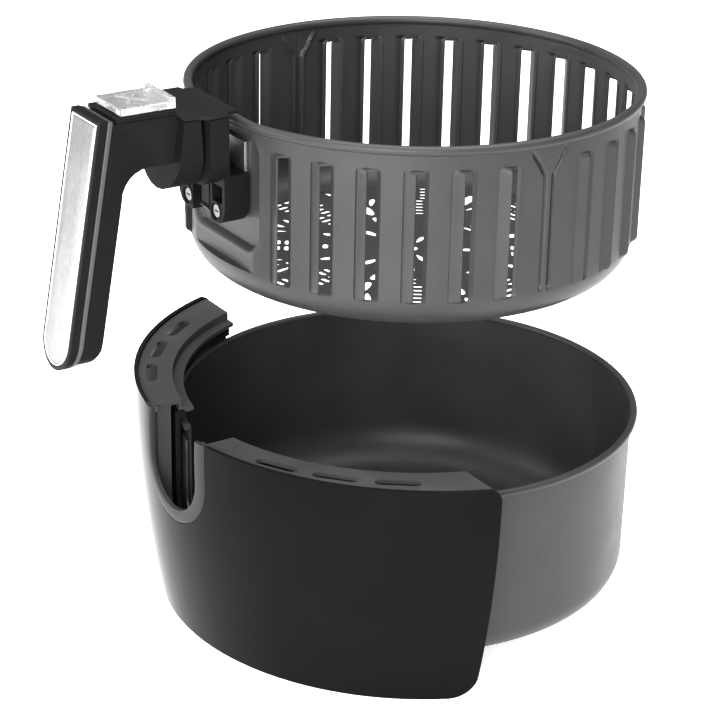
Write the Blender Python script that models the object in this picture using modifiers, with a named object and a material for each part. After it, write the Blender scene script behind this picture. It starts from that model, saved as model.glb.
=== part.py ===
"""Drawer set of a round air fryer: a pan with its front panel, and the basket with its handle.

Metres, +Z up. The origin is the centre of the pan's underside, and the handle points to -Y.
The basket is modelled lifted straight out of the pan, above it.
"""

from math import asin, cos, pi, radians, sin, sqrt

import bmesh
import bpy
from mathutils import Matrix, Vector

GAP = 0.0003  # clearance between pieces that touch
RUN = 0.00009  # radial clearance of the pin in its bores
FAR = 0.4  # larger than the object, for cutters

# Pan
SHEET = 0.001  # steel sheet of the pan and of the basket
PAN_RIM_R = 0.1193
PAN_HEIGHT = 0.092
PAN_WALL_R = 0.1162
PAN_FOOT_R = 0.1157  # outer radius just above the corner
PAN_CORNER = 0.014
PAN_BEAD = 0.0019
PAN_CUT_HALF = 0.0245
PAN_CUT_Z = 0.043

# Basket, at rest above the pan
BASKET_TOP = 0.262
BASKET_HEIGHT = 0.0905
BASKET_FLOOR = BASKET_TOP - BASKET_HEIGHT
BASKET_R = 0.1104
BASKET_CORNER = 0.017
BASKET_BEAD = 0.0023
FLAT_RIM = 0.0034  # how far the rim is pressed flat at the front
FLAT_WALL = 0.0062  # and the wall below it
DIVISIONS = 32  # pitch of the louvres round the wall
SLOT_HALF = 0.005
SLOT_LOW = BASKET_FLOOR + 0.015
SLOT_HIGH = BASKET_TOP - 0.0115
LOUVRE_OUT = 0.0026
FLOOR_RINGS = ((0.014, 8), (0.032, 14), (0.051, 20), (0.071, 28))
FLOOR_SLOT = (0.0052, 0.0022)  # half length along the radius, half width

# Front panel: arcs about centres behind the pan's axis, blended from top to bottom
PANEL_TOP = 0.1067
PANEL_LOW = -0.0118
PANEL_TOP_R = 0.1472
PANEL_LOW_R = 0.1322
PANEL_TOP_Y = 0.0088
PANEL_LOW_Y = 0.0057
PANEL_BELLY = 1.83
PANEL_END_Y = -0.0395
PANEL_THICK = 0.0022
CORNER_TOP = 0.006
CORNER_LOW = 0.013
NOTCH_HALF = 0.022
NOTCH_LOW = 0.0625
BEZEL_HALF = 0.030
BEZEL_LOW = 0.0550
LEDGE_TOP = 0.1055
LEDGE_THICK = 0.0022
RAIL_TOP = 0.1015
RAIL_R = 0.1143
STEP_R = 0.1214
RECESS_HALF = 0.0258
AIR_SLOTS = (28.5, 41.7, 54.7)  # degrees from the handle
FRAME_R = 0.1202
FRAME_THICK = 0.0026
FRAME_LOW = 0.014
POCKET_LOW = 0.0445
POCKET_THICK = 0.0016

# Handle
GRIP_TOP = 0.2693
GRIP_LOW = 0.1495
BELOW_GRIP = 0.14  # where the layers end before their ends are rounded
GRIP_FRONT = 0.1779  # distance of the front face from the axis, at the top
GRIP_SLOPE = 0.170
GRIP_HALF = 0.0143
COVER_DEPTH = 0.0044
BAND_DEPTH = 0.0030
GRIP_DEPTH = 0.0174
CORE_HALF = 0.0136
INSERT_HALF = 0.0121
ARM_TOP = 0.2669
ARM_UNDER = 0.2442
ARCH_R = 0.014
HUB_HALF = 0.0205
HUB_FRONT = (0.1384, 0.1426)  # at the top, at the bottom
HUB_BACK = (0.1299, 0.1275)
HUB_LOW = 0.2285
HUB_TOP = 0.2649
PLATE_TOP = 0.2670
DECK_TOP = 0.2694
DECK_BACK = 0.1398

# Bracket behind the hub
BLOCK_HALF = 0.024
BLOCK_FRONT = 0.1273
BLOCK_BACK = 0.1174
BLOCK_LOW = 0.2310
BLOCK_CORNER = 0.014
BOX_HALF = 0.022
BOX_FRONT = 0.1190
BOX_LOW = 0.2115
BOX_HIGH = 0.236
BOX_BACK = 0.1061
FLANGE_BACK = 0.1160
FLANGE_HIGH = 0.246
CHANNEL_HALF = 0.0085
CHANNEL_HIGH = 0.2305
CHANNEL_BACK = 0.1105
SCREW_X = 0.0135
SCREW_Z = 0.2172

# Release mechanism
BUTTON_Y = -0.150
BUTTON_HALF = (0.008, 0.007)
FLANGE = 0.0012
POCKET_FLOOR = 0.2535
PIVOT_Y = -0.122
PIVOT_Z = 0.2585
PIN_R = 0.0015
LEVER_HALF = 0.0035
LEVER_ROOM = 0.0047  # half width of the way cut for the lever
PIN_HALF = 0.010
GUARD_HALF = 0.01275
GUARD_FRONT = 0.1665
GUARD_BACK = 0.1385
GUARD_LOW = 0.2697
GUARD_TOP = 0.2732
RIDGE_TOP = 0.2750


def clear_scene():
    for obj in list(bpy.data.objects):
        bpy.data.objects.remove(obj, do_unlink=True)


def make_collection(name, hidden=False):
    collection = bpy.data.collections.new(name)
    bpy.context.scene.collection.children.link(collection)
    collection.hide_render = hidden
    return collection


def make_material(name, colour, roughness, metallic=0.0, alpha=1.0):
    material = bpy.data.materials.new(name)
    material.use_nodes = True
    shader = material.node_tree.nodes["Principled BSDF"]
    shader.inputs["Base Color"].default_value = (*colour, 1.0)
    shader.inputs["Roughness"].default_value = roughness
    shader.inputs["Metallic"].default_value = metallic
    shader.inputs["Alpha"].default_value = alpha
    return material


def add_object(name, bm, material=None, hidden=False):
    """Makes an object of the bmesh: a part with a material, or a cutter without one."""
    bmesh.ops.recalc_face_normals(bm, faces=bm.faces)
    mesh = bpy.data.meshes.new(name)
    bm.to_mesh(mesh)
    bm.free()
    obj = bpy.data.objects.new(name, mesh)
    (CUTTERS if hidden else PARTS).objects.link(obj)
    if hidden:
        obj.hide_render = True
        obj.display_type = "WIRE"
    else:
        mesh.materials.append(material)
    return obj


def smooth(obj, angle=35):
    obj.data.shade_smooth()
    obj.data.set_sharp_from_angle(angle=radians(angle))


def add_prism(bm, outline, low, high, axis="Z"):
    """Extrudes a flat outline. axis Z takes (x, y) points, axis Y takes (x, z), axis X takes (y, z)."""
    places = {
        "Z": lambda a, b: (a, b, low),
        "Y": lambda a, b: (a, low, b),
        "X": lambda a, b: (low, a, b),
    }
    shift = {"Z": (0, 0, high - low), "Y": (0, high - low, 0), "X": (high - low, 0, 0)}[axis]
    face = bm.faces.new([bm.verts.new(places[axis](a, b)) for a, b in outline])
    made = bmesh.ops.extrude_face_region(bm, geom=[face])
    moved = [item for item in made["geom"] if isinstance(item, bmesh.types.BMVert)]
    bmesh.ops.translate(bm, verts=moved, vec=shift)
    return moved


def prism(name, outline, low, high, axis="Z", material=None, hidden=False):
    bm = bmesh.new()
    add_prism(bm, outline, low, high, axis)
    return add_object(name, bm, material, hidden)


def box(name, low, high, material=None, hidden=False):
    """A box between two corners, from the cube primitive."""
    bm = bmesh.new()
    add_box(bm, low, high)
    return add_object(name, bm, material, hidden)


def add_box(bm, low, high, turn=None):
    size = [b - a for a, b in zip(low, high)]
    middle = [(a + b) / 2 for a, b in zip(low, high)]
    matrix = Matrix.Translation(middle) @ Matrix.Diagonal((*size, 1))
    if turn is not None:
        matrix = turn @ matrix
    bmesh.ops.create_cube(bm, size=1, matrix=matrix)


def add_rod(bm, start, end, radius, sides=16):
    """A cylinder between two points, from the cone primitive."""
    start, end = Vector(start), Vector(end)
    run = end - start
    turn = run.to_track_quat("Z", "Y").to_matrix().to_4x4()
    bmesh.ops.create_cone(
        bm,
        cap_ends=True,
        segments=sides,
        radius1=radius,
        radius2=radius,
        depth=run.length,
        matrix=Matrix.Translation((start + end) / 2) @ turn,
    )


def arc(centre, radius, first, last, steps):
    """Points of a circle between two angles in degrees, both ends included."""
    angles = [radians(first + (last - first) * i / steps) for i in range(steps + 1)]
    return [(centre[0] + radius * cos(a), centre[1] + radius * sin(a)) for a in angles]


def u_outline(half, low, high, steps=12):
    """A U shape: straight sides and a half-round bottom."""
    return [(-half, high)] + arc((0, low + half), half, 180, 360, steps) + [(half, high)]


def rounded_u(half, low, high, corner, steps=4):
    """A rectangle with its two lower corners rounded."""
    left = arc((corner - half, low + corner), corner, 180, 270, steps)
    right = arc((half - corner, low + corner), corner, 270, 360, steps)
    return [(-half, high)] + left + right + [(half, high)]


def turned(name, profile, steps, material=None, hidden=False, closed=True):
    """Turns a profile of (radius, z) points round Z. An open profile starts and ends on the axis."""
    mesh = bpy.data.meshes.new(name)
    edges = [(i, i + 1) for i in range(len(profile) - 1)]
    if closed:
        edges.append((len(profile) - 1, 0))
    mesh.from_pydata([(r, 0, z) for r, z in profile], edges, [])
    obj = bpy.data.objects.new(name, mesh)
    bpy.context.scene.collection.objects.link(obj)
    screw = obj.modifiers.new("turn", "SCREW")
    screw.steps = screw.render_steps = steps
    screw.use_merge_vertices = True
    screw.merge_threshold = 0.00001
    bm = bmesh.new()
    bpy.context.view_layer.update()
    bm.from_mesh(obj.evaluated_get(bpy.context.evaluated_depsgraph_get()).to_mesh())
    bpy.data.objects.remove(obj, do_unlink=True)
    bmesh.ops.remove_doubles(bm, verts=bm.verts, dist=0.000005)
    return add_object(name, bm, material, hidden)


def boolean(obj, tool, operation="DIFFERENCE"):
    modifier = obj.modifiers.new(operation.lower(), "BOOLEAN")
    modifier.operation = operation
    modifier.object = tool
    modifier.solver = "EXACT"


def bevel(obj, width, segments=2, angle=40):
    modifier = obj.modifiers.new("edges", "BEVEL")
    modifier.width = width
    modifier.segments = segments
    modifier.limit_method = "ANGLE"
    modifier.angle_limit = radians(angle)


def vessel_profile(rim_r, wall_r, foot_r, corner, low, top, bead):
    """Sheet vessel from the axis up the inside, over the rolled rim and down the outside."""
    inner_corner = corner - SHEET
    inside = arc((foot_r - corner, low + corner), inner_corner, 270, 360, 4)
    outside = arc((foot_r - corner, low + corner), corner, 360, 270, 4)
    centre = (rim_r - bead, top - bead)
    rim = arc(centre, bead, 215, -45, 7)
    neck, waist = centre[1] - bead * 0.9, low + corner + 0.005
    up = [(foot_r - SHEET, waist), (wall_r - SHEET, neck)]
    down = [(wall_r, neck), (foot_r, waist)]
    return [(0, low + SHEET)] + inside + up + rim + down + outside + [(0, low)]


def make_pan():
    profile = vessel_profile(PAN_RIM_R, PAN_WALL_R, PAN_FOOT_R, PAN_CORNER, 0, PAN_HEIGHT, PAN_BEAD)
    pan = turned("pan", profile, 64, STEEL, closed=False)
    outline = rounded_u(PAN_CUT_HALF, PAN_CUT_Z, FAR, 0.009)
    boolean(pan, prism("pan_front_cut", outline, -0.13, -0.09, "Y", hidden=True))
    smooth(pan)
    return pan


def make_pan_bracket():
    low, high = PAN_WALL_R + 0.0005, PAN_WALL_R + 0.0017
    profile = [(low, 0.082), (high, 0.082), (high, 0.02), (low, 0.02)]
    ring = turned("pan_bracket", profile, 64, BARE_STEEL)
    boolean(ring, box("bracket_keep", (-FAR, -FAR, -FAR), (FAR, -0.085, FAR), hidden=True), "INTERSECT")
    window = rounded_u(PAN_CUT_HALF + 0.001, PAN_CUT_Z - 0.001, FAR, 0.009)
    boolean(ring, prism("bracket_window", window, -0.13, -0.09, "Y", hidden=True))
    for number, (x, y, z) in enumerate(screw_places(), 1):
        bm = bmesh.new()
        add_rod(bm, (x, y, z), (x * 0.8, y * 0.8, z), 0.0019, 12)
        boolean(ring, add_object(f"bracket_hole_{number}", bm, hidden=True))
    smooth(ring)
    return ring


def panel_shape(z):
    """Radius and centre of the panel's arc at a height."""
    part = (PANEL_TOP - z) / (PANEL_TOP - PANEL_LOW)
    radius = PANEL_TOP_R + (PANEL_LOW_R - PANEL_TOP_R) * part**PANEL_BELLY
    return radius, PANEL_TOP_Y + (PANEL_LOW_Y - PANEL_TOP_Y) * part


def corner_pull(z):
    """How far the rounded corners draw the panel's ends in at a height."""
    pull = 0
    for corner, edge in ((CORNER_TOP, PANEL_TOP - z), (CORNER_LOW, z - PANEL_LOW)):
        if edge < corner:
            pull += corner - sqrt(max(corner**2 - (corner - edge) ** 2, 0))
    return pull


def panel_heights():
    """Heights of the panel's rows, closer together at the rounded corners."""
    top = [PANEL_TOP - CORNER_TOP * (1 - cos(radians(a))) for a in (0, 30, 60, 90)]
    low = [PANEL_LOW + CORNER_LOW * (1 - cos(radians(a))) for a in (90, 68, 45, 22, 0)]
    middle = [top[-1] + (low[0] - top[-1]) * i / 6 for i in range(1, 6)]
    return top + middle + low


def panel_surface(name, columns, material):
    """The curved sheet of the front panel, thickened inwards."""
    rows = panel_heights()
    bm = bmesh.new()
    grid = bmesh.ops.create_grid(bm, x_segments=columns, y_segments=len(rows) - 1, size=1)
    for vert in grid["verts"]:
        across = vert.co.x
        row = round((vert.co.y + 1) / 2 * (len(rows) - 1))
        z = rows[row]
        radius, centre = panel_shape(z)
        end = pi / 2 - asin((centre - PANEL_END_Y) / radius)
        angle = (end - corner_pull(z) / radius) * across
        vert.co = (radius * sin(angle), centre - radius * cos(angle), z)
    panel = add_object(name, bm, material)
    if panel.data.polygons[0].normal.y > 0:
        panel.data.flip_normals()
    shell = panel.modifiers.new("thickness", "SOLIDIFY")
    shell.thickness = PANEL_THICK
    shell.offset = -1
    return panel


def make_front_panel():
    panel = panel_surface("front_panel", 40, GLOSS_BLACK)
    outline = u_outline(BEZEL_HALF, BEZEL_LOW, FAR, 16)
    boolean(panel, prism("panel_notch_cut", outline, -0.2, -0.1, "Y", hidden=True))
    smooth(panel)
    return panel


def panel_front_y(x, z):
    radius, centre = panel_shape(z)
    return centre - sqrt(radius**2 - x**2)


def make_bezel():
    """Raised band round the notch, between two U outlines laid on the panel's surface."""
    bm = bmesh.new()
    sections = []
    straight = 5
    for number in range(straight * 2 + 17):
        if number < straight:
            part, angle = 1 - number / straight, 180
        elif number > straight + 16:
            part, angle = (number - straight - 16) / straight, 360
        else:
            part, angle = 0, 180 + 180 * (number - straight) / 16
        section = []
        for half, low in ((BEZEL_HALF - GAP, BEZEL_LOW + GAP), (NOTCH_HALF, NOTCH_LOW)):
            z = low + half
            z = z + (PANEL_TOP - z) * part + half * sin(radians(angle)) * (part == 0)
            x = half * cos(radians(angle))
            front = panel_front_y(x, z)
            section += [(x, front, z), (x, front + PANEL_THICK, z)]
        sections.append([bm.verts.new(section[i]) for i in (0, 1, 3, 2)])
    for before, after in zip(sections, sections[1:]):
        for i in range(4):
            bm.faces.new((before[i], before[(i + 1) % 4], after[(i + 1) % 4], after[i]))
    bm.faces.new(sections[0])
    bm.faces.new(sections[-1])
    bezel = add_object("notch_bezel", bm, GREY_PLASTIC)
    smooth(bezel)
    return bezel


def slot_outline(angle, radius, half_length, half_width):
    """A slot across a radius, with rounded ends, at an angle in degrees from the handle."""
    ends = arc((half_length - half_width, 0), half_width, -90, 90, 4)
    ends += arc((half_width - half_length, 0), half_width, 90, 270, 4)
    turn = Matrix.Rotation(radians(angle), 2)
    return [tuple(turn @ Vector((a, b - radius))) for a, b in ends]


def make_top_cover():
    """Ledge inside the top of the panel, with a lower rail towards the pan."""
    reach = PANEL_TOP_R - PANEL_THICK - GAP
    disc = arc((0, PANEL_TOP_Y), reach, 0, 360 - 360 / 96, 95)
    cover = prism("panel_top_cover", disc, LEDGE_TOP - LEDGE_THICK, LEDGE_TOP, "Z", GREY_PLASTIC)
    hole = arc((0, 0), STEP_R - 0.0008, 0, 360 - 360 / 96, 95)
    boolean(cover, prism("cover_hole", hole, -FAR, FAR, "Z", hidden=True))
    low, wall = RAIL_TOP - 0.002, STEP_R - 0.0016
    step = [(RAIL_R, RAIL_TOP), (wall, RAIL_TOP), (wall, LEDGE_TOP)]
    step += [(STEP_R, LEDGE_TOP), (STEP_R, low), (RAIL_R, low)]
    boolean(cover, turned("cover_rail", step, 96, hidden=True), "UNION")
    boolean(cover, box("cover_end_cut", (-FAR, PANEL_END_Y - 0.002, -FAR), (FAR, FAR, FAR), hidden=True))
    way = (-NOTCH_HALF - 0.0006, -FAR, -FAR), (NOTCH_HALF + 0.0006, 0, FAR)
    boolean(cover, box("cover_notch", *way, hidden=True))
    room = rounded_u(RECESS_HALF, POCKET_LOW, FAR, 0.009)
    boolean(cover, prism("cover_recess", room, -0.1316, -0.116, "Y", hidden=True))
    boolean(cover, make_pocket(), "UNION")
    bm = bmesh.new()
    for side in (-1, 1):
        for angle in AIR_SLOTS:
            outline = slot_outline(side * angle, 0.1303, 0.0112, 0.0028)
            add_prism(bm, outline, LEDGE_TOP - 0.01, LEDGE_TOP + 0.01)
    boolean(cover, add_object("cover_air_slots", bm, hidden=True))
    smooth(cover)
    return cover


def make_pocket():
    """Open channel under the ledge, in which the bracket of the basket stands when it is down."""
    outer = rounded_u(RECESS_HALF + POCKET_THICK, POCKET_LOW - POCKET_THICK, LEDGE_TOP - 0.001, 0.0106)
    pocket = prism("cover_pocket", outer, -0.1308, -0.1232, "Y", hidden=True)
    inner = rounded_u(RECESS_HALF, POCKET_LOW, FAR, 0.009)
    boolean(pocket, prism("pocket_room", inner, -0.2, -0.1, "Y", hidden=True))
    return pocket


def make_panel_frame():
    """Plastic wall between the pan and the panel, with a lip over the pan's rim."""
    outer = FRAME_R + FRAME_THICK
    lip_r, lip_low, top = 0.1169, PAN_HEIGHT + 0.0016, RAIL_TOP - 0.0034
    profile = [(lip_r, top), (outer, top), (outer, FRAME_LOW), (FRAME_R, FRAME_LOW)]
    profile += [(FRAME_R, lip_low), (lip_r, lip_low)]
    frame = turned("panel_frame", profile, 64, BLACK_PLASTIC)
    keep = box("frame_keep", (-FAR, -FAR, -FAR), (FAR, PANEL_END_Y - 0.003, FAR), hidden=True)
    boolean(frame, keep, "INTERSECT")
    window = rounded_u(RECESS_HALF + 0.0018, POCKET_LOW - 0.003, FAR, 0.011)
    boolean(frame, prism("frame_window", window, -0.15, -0.09, "Y", hidden=True))
    bm = bmesh.new()
    for x, y, z in screw_places():
        add_rod(bm, (x * 0.94, y * 0.94, z), (x * 1.1, y * 1.1, z), 0.0019, 12)
    boolean(frame, add_object("frame_holes", bm, hidden=True))
    smooth(frame)
    return frame


def screw_places():
    """Middle of each panel screw's head, just outside the frame."""
    radius = FRAME_R + FRAME_THICK + 0.0013
    for angle in (-32, 32):
        for z in (0.034, 0.066):
            yield (radius * sin(radians(angle)), -radius * cos(radians(angle)), z)


def make_panel_screws():
    """Four radial screws through the frame towards the pan's bracket."""
    for number, (x, y, z) in enumerate(screw_places(), 1):
        out = Vector((x, y, 0)).normalized()
        place = Vector((x, y, z))
        bm = bmesh.new()
        add_rod(bm, place - out * 0.001, place + out * 0.001, 0.0033, 12)
        screw = add_object(f"panel_screw_{number}", bm, SCREW_STEEL)
        bm = bmesh.new()
        add_rod(bm, place - out * 0.0068, place, 0.0015, 12)
        boolean(screw, add_object(f"panel_screw_shank_{number}", bm, hidden=True), "UNION")


def make_latch_catch():
    """Steel plate standing on the pocket's floor, just clear of the hook's way down."""
    foot = POCKET_LOW + GAP
    front, back, sheet = -0.1298, -0.1194, 0.0012
    plate = [(front, foot), (back, foot), (back, 0.0575), (back - sheet, 0.0575)]
    plate += [(back - sheet, foot + sheet), (front, foot + sheet)]
    return prism("latch_catch", plate, -0.007, 0.007, "X", BARE_STEEL)


def wall_turn(angle):
    """Turn that carries a shape from the front (-Y) to an angle in degrees from the handle."""
    return Matrix.Rotation(radians(angle), 4, "Z")


def slot_angles():
    """Every division of the wall but those behind the handle and those with the pressed ribs."""
    pitch = 360 / DIVISIONS
    for number in range(2, DIVISIONS - 1):
        if number not in (DIVISIONS // 4, DIVISIONS * 3 // 4):
            yield number * pitch


def press_flat(obj):
    """Presses the front of the wall and of the rim flat, where the handle is fixed."""
    neck = BASKET_TOP - BASKET_BEAD * 1.89
    for vert in obj.data.vertices:
        radius = sqrt(vert.co.x**2 + vert.co.y**2)
        if vert.co.z > BASKET_FLOOR + BASKET_CORNER:
            depth = FLAT_RIM if vert.co.z > neck else FLAT_WALL
            vert.co.y = max(vert.co.y, depth - radius)


def make_basket():
    radii = BASKET_R + BASKET_BEAD, BASKET_R, BASKET_R - 0.0002
    profile = vessel_profile(*radii, BASKET_CORNER, BASKET_FLOOR, BASKET_TOP, BASKET_BEAD)
    basket = turned("basket", profile, 64, STEEL, closed=False)
    press_flat(basket)
    slots, strips = bmesh.new(), bmesh.new()
    for angle in slot_angles():
        turn = wall_turn(angle)
        add_box(slots, (-SLOT_HALF, -0.118, SLOT_LOW), (SLOT_HALF, -0.1, SLOT_HIGH), turn)
        add_box(
            strips,
            (-SLOT_HALF - 0.0012, -BASKET_R - LOUVRE_OUT, SLOT_LOW + 0.001),
            (-0.0006, -BASKET_R + 0.0012, SLOT_HIGH - 0.001),
            turn,
        )
    boolean(basket, add_object("basket_slots", slots, hidden=True))
    boolean(basket, add_object("basket_louvres", strips, hidden=True), "UNION")
    bm = bmesh.new()
    for radius, count in FLOOR_RINGS:
        for number in range(count):
            outline = floor_slot(360 * number / count, radius)
            add_prism(bm, outline, BASKET_FLOOR - 0.01, BASKET_FLOOR + 0.01)
    boolean(basket, add_object("basket_floor_slots", bm, hidden=True))
    smooth(basket)
    return basket


def floor_slot(angle, radius):
    """A leaf-shaped hole pointing along the radius."""
    long, wide = FLOOR_SLOT
    leaf = [(0, -long), (wide, -long * 0.4), (wide, long * 0.4)]
    leaf += [(-x, -y) for x, y in leaf]
    turn = Matrix.Rotation(radians(angle), 2)
    return [tuple(turn @ Vector((a, b - radius))) for a, b in leaf]


def make_basket_bracket():
    back = BASKET_R - FLAT_WALL + GAP
    outline = rounded_u(0.018, BOX_LOW + 0.002, 0.250, 0.006)
    plate = prism("basket_bracket", outline, -back - 0.0015, -back, "Y", BARE_STEEL)
    bm = bmesh.new()
    for side in (-1, 1):
        add_rod(bm, (side * SCREW_X, -0.12, SCREW_Z), (side * SCREW_X, -0.1, SCREW_Z), 0.0019, 12)
    boolean(plate, add_object("plate_holes", bm, hidden=True))
    return plate


def make_bracket_housing():
    """Block behind the hub and box below it, with the lever's pivot, its channel and the screws' wells."""
    outline = rounded_u(BOX_HALF, BOX_LOW, BOX_HIGH, 0.0085)
    housing = prism("bracket_housing", outline, -BOX_FRONT, -BOX_BACK, "Y", BLACK_PLASTIC)
    flange = (-BOX_HALF, -BOX_FRONT, BOX_HIGH - 0.002), (BOX_HALF, -FLANGE_BACK, FLANGE_HIGH)
    boolean(housing, box("housing_flange", *flange, hidden=True), "UNION")
    outline = rounded_u(BLOCK_HALF, BLOCK_LOW, HUB_TOP, BLOCK_CORNER)
    block = prism("housing_block", outline, -BLOCK_FRONT, -BLOCK_BACK, "Y", hidden=True)
    boolean(housing, block, "UNION")
    bm = bmesh.new()
    add_box(bm, (-CHANNEL_HALF, -FAR, 0.2), (CHANNEL_HALF, -CHANNEL_BACK, CHANNEL_HIGH))
    for side in (-1, 1):
        low, high = sorted((side * 0.0102, side * 0.0196))
        add_box(bm, (low, -FAR, 0.2222), (high, -0.1114, CHANNEL_HIGH))
        add_rod(bm, (side * SCREW_X, -0.13, SCREW_Z), (side * SCREW_X, -0.1160, SCREW_Z), 0.0037, 16)
    boolean(housing, add_object("housing_rooms", bm, hidden=True))
    bm = bmesh.new()
    for side in (-1, 1):
        add_rod(bm, (side * SCREW_X, -0.12, SCREW_Z), (side * SCREW_X, -0.1, SCREW_Z), 0.0019, 12)
    boolean(housing, add_object("housing_screw_holes", bm, hidden=True))
    tunnel = (-LEVER_ROOM, -0.13, POCKET_FLOOR), (LEVER_ROOM, -0.11, 0.2630)
    boolean(housing, box("housing_tunnel", *tunnel, hidden=True))
    slot = (-LEVER_ROOM, -BLOCK_BACK + 0.0002, CHANNEL_HIGH - 0.002), (LEVER_ROOM, -CHANNEL_BACK, 0.25)
    boolean(housing, box("housing_leg_slot", *slot, hidden=True))
    bm = bmesh.new()
    reach = PIN_HALF + 0.0004
    add_rod(bm, (-reach, PIVOT_Y, PIVOT_Z), (reach, PIVOT_Y, PIVOT_Z), PIN_R + RUN, 16)
    boolean(housing, add_object("housing_pin_bore", bm, hidden=True))
    room = (0.004, PIVOT_Y - 0.0032, PIVOT_Z - 0.0032), (0.0085, PIVOT_Y + 0.0032, PIVOT_Z + 0.0032)
    boolean(housing, box("housing_spring_room", *room, hidden=True))
    return housing


def make_bracket_screws():
    for name, side in (("left", -1), ("right", 1)):
        x = side * SCREW_X
        bm = bmesh.new()
        add_rod(bm, (x, -0.1185, SCREW_Z), (x, -0.1163, SCREW_Z), 0.0031, 16)
        screw = add_object(f"bracket_screw_{name}", bm, SCREW_STEEL)
        bm = bmesh.new()
        add_rod(bm, (x, -0.1170, SCREW_Z), (x, -0.1047, SCREW_Z), 0.0015, 12)
        boolean(screw, add_object(f"bracket_screw_shank_{name}", bm, hidden=True), "UNION")
        bm = bmesh.new()
        add_box(bm, (x - 0.0018, -0.12, SCREW_Z - 0.0004), (x + 0.0018, -0.1178, SCREW_Z + 0.0004))
        boolean(screw, add_object(f"bracket_screw_slot_{name}", bm, hidden=True))


def grip_front(z):
    """Distance of the grip's front face from the axis at a height."""
    return GRIP_FRONT + GRIP_SLOPE * (GRIP_TOP - z)


def grip_slab(name, near, far, top, half, material):
    """A layer of the grip between two depths behind its front face, with a half-round lower end."""
    corners = (top, near), (top, far), (BELOW_GRIP, far), (BELOW_GRIP, near)
    outline = [(-(grip_front(z) - depth), z) for z, depth in corners]
    slab = prism(name, outline, -half - 0.001, half + 0.001, "X", material)
    end = u_outline(half, GRIP_LOW, FAR, 12)
    boolean(slab, prism(name + "_end", end, -0.25, -0.1, "Y", hidden=True), "INTERSECT")
    return slab


def core_outline():
    """Side view of the arm and of the inner half of the grip, as (y, z) points."""
    near = COVER_DEPTH + BAND_DEPTH + GAP
    bend, end = GRIP_LOW + 0.009, BELOW_GRIP
    arch_z = ARM_UNDER - ARCH_R
    arch_y = grip_front(arch_z) - GRIP_DEPTH - ARCH_R
    start = HUB_FRONT[0] + 0.0005
    points = [(start, ARM_TOP), (grip_front(ARM_TOP) - near, ARM_TOP)]
    points += [(grip_front(end) - near, end), (grip_front(end) - GRIP_DEPTH + 0.005, end)]
    points += [(grip_front(bend) - GRIP_DEPTH, bend)]
    points += arc((arch_y, arch_z), ARCH_R, 0, 90, 6)
    points += [(start - 0.0045, ARM_UNDER), (start - 0.0045, HUB_TOP), (start, HUB_TOP)]
    return [(-r, z) for r, z in points]


def make_handle_core():
    core = prism("handle_core", core_outline(), -CORE_HALF - 0.001, CORE_HALF + 0.001, "X", BLACK_PLASTIC)
    end = u_outline(CORE_HALF, GRIP_LOW + 0.0006, FAR, 12)
    boolean(core, prism("core_end", end, -0.25, -0.1, "Y", hidden=True), "INTERSECT")
    side = [(-HUB_FRONT[0], HUB_TOP), (-HUB_BACK[0], HUB_TOP)]
    side += [(-HUB_BACK[1], HUB_LOW), (-HUB_FRONT[1], HUB_LOW)]
    hub = prism("core_hub", side, -HUB_HALF - 0.001, HUB_HALF + 0.001, "X", hidden=True)
    outline = u_outline(HUB_HALF, HUB_LOW + 0.0001, FAR, 12)
    boolean(hub, prism("core_hub_outline", outline, -0.2, -0.1, "Y", hidden=True), "INTERSECT")
    boolean(core, hub, "UNION")
    bm = bmesh.new()
    add_box(bm, (-LEVER_ROOM, -0.1535, POCKET_FLOOR), (LEVER_ROOM, -0.12, FAR))
    boolean(core, add_object("core_lever_room", bm, hidden=True))
    side, along = BUTTON_HALF[0] + FLANGE + 0.0004, BUTTON_HALF[1] + FLANGE + 0.0004
    room = ((-side, BUTTON_Y - along, POCKET_FLOOR), (side, BUTTON_Y + along, FAR))
    boolean(core, box("core_button_room", *room, hidden=True))
    return core


def make_grip_layers():
    cover = grip_slab("handle_front_cover", 0, COVER_DEPTH, GRIP_TOP, GRIP_HALF, BLACK_PLASTIC)
    corners = (0.268, -0.01), (0.268, 0.0016), (BELOW_GRIP, 0.0016), (BELOW_GRIP, -0.01)
    recess = [(-(grip_front(z) - depth), z) for z, depth in corners]
    tool = prism("cover_recess_block", recess, -INSERT_HALF - 0.001, INSERT_HALF + 0.001, "X", hidden=True)
    end = u_outline(INSERT_HALF + GAP, GRIP_LOW + 0.0021, FAR, 12)
    boolean(tool, prism("cover_recess_end", end, -0.25, -0.1, "Y", hidden=True), "INTERSECT")
    boolean(cover, tool)
    depths = COVER_DEPTH + GAP, COVER_DEPTH + BAND_DEPTH
    band = grip_slab("handle_trim_band", *depths, 0.2685, GRIP_HALF, GREY_PLASTIC)
    corners = (0.2676, -0.0001), (0.2676, 0.0013), (BELOW_GRIP, 0.0013), (BELOW_GRIP, -0.0001)
    outline = [(-(grip_front(z) - depth), z) for z, depth in corners]
    insert = prism("handle_insert", outline, -INSERT_HALF - 0.001, INSERT_HALF + 0.001, "X", BRUSHED)
    end = u_outline(INSERT_HALF, GRIP_LOW + 0.0024, FAR, 12)
    boolean(insert, prism("insert_end", end, -0.25, -0.1, "Y", hidden=True), "INTERSECT")
    return cover, band, insert


def make_top_plate():
    """Flat cover over the hub and the block, reaching to the basket's rim."""
    right = [(0.0205, -0.1106), (0.0212, -0.1166), (0.0245, -0.1174), (0.0245, -0.1282)]
    right += [(0.0222, -0.1305), (0.0215, -0.1320), (0.0203, -0.1388)]
    left = [(-x, y) for x, y in reversed(right)]
    plate = prism("bracket_top_plate", right + left, HUB_TOP + GAP, PLATE_TOP, "Z", BLACK_PLASTIC)
    bevel(plate, 0.0004, 1)
    return plate


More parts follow.
